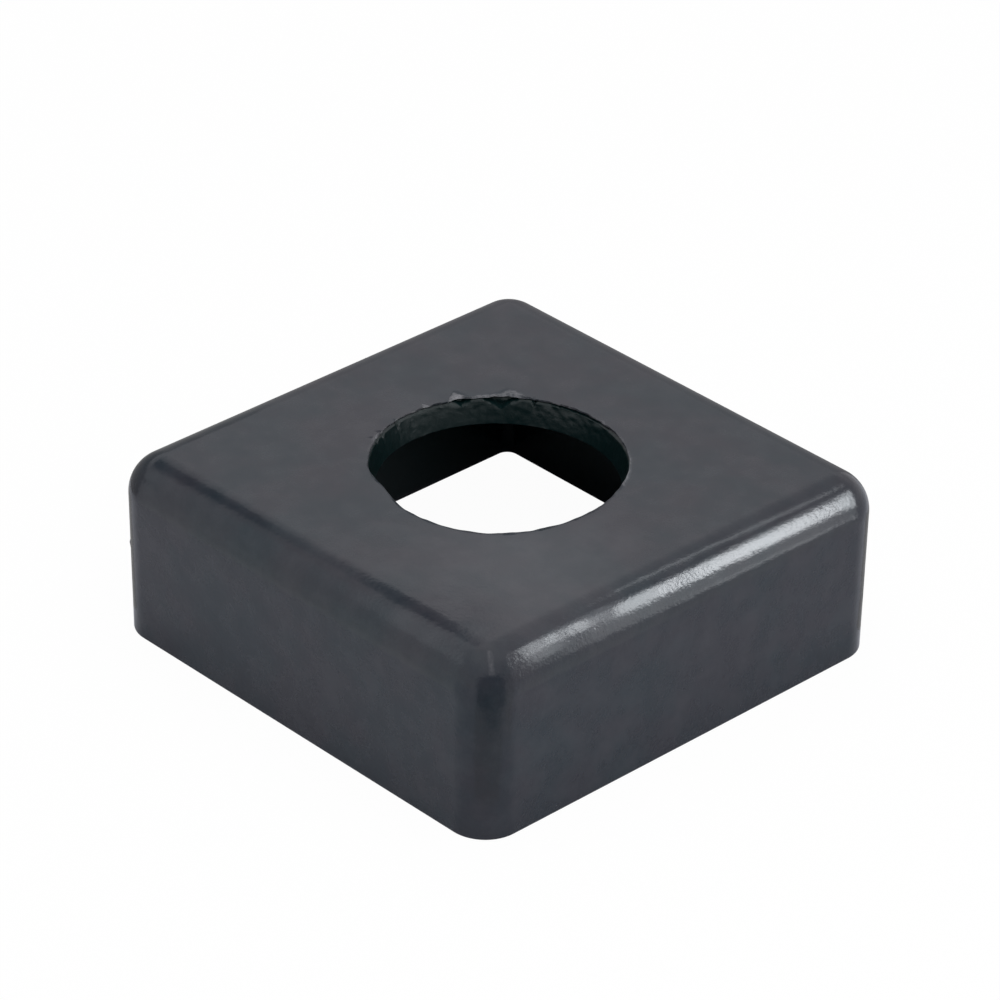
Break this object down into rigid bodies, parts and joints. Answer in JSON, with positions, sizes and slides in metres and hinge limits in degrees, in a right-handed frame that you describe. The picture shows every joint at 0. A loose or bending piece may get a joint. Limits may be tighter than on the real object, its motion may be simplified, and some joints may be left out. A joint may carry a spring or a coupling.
{
  "type": "square tube end cap",
  "caption": "Square moulded cap with a round hole in its top plate, slips over the end of a square tube and lets a pin, pipe or cable out through the plate.",
  "frame": {"origin": "centre of the open mouth, on the plane that the cap stands on", "axes": "+Z along the hole and the tube, from the mouth to the top plate; X and Y square to the flat sides"},
  "size_m": [0.0534, 0.0534, 0.0196],
  "materials": {
    "moulding": "satin anthracite moulding with a faint orange-peel skin, a little glossier on the rolled top edge"
  },
  "bodies": {
    "root": {"end_cap": "moulding"}
  },
  "joints": []
}
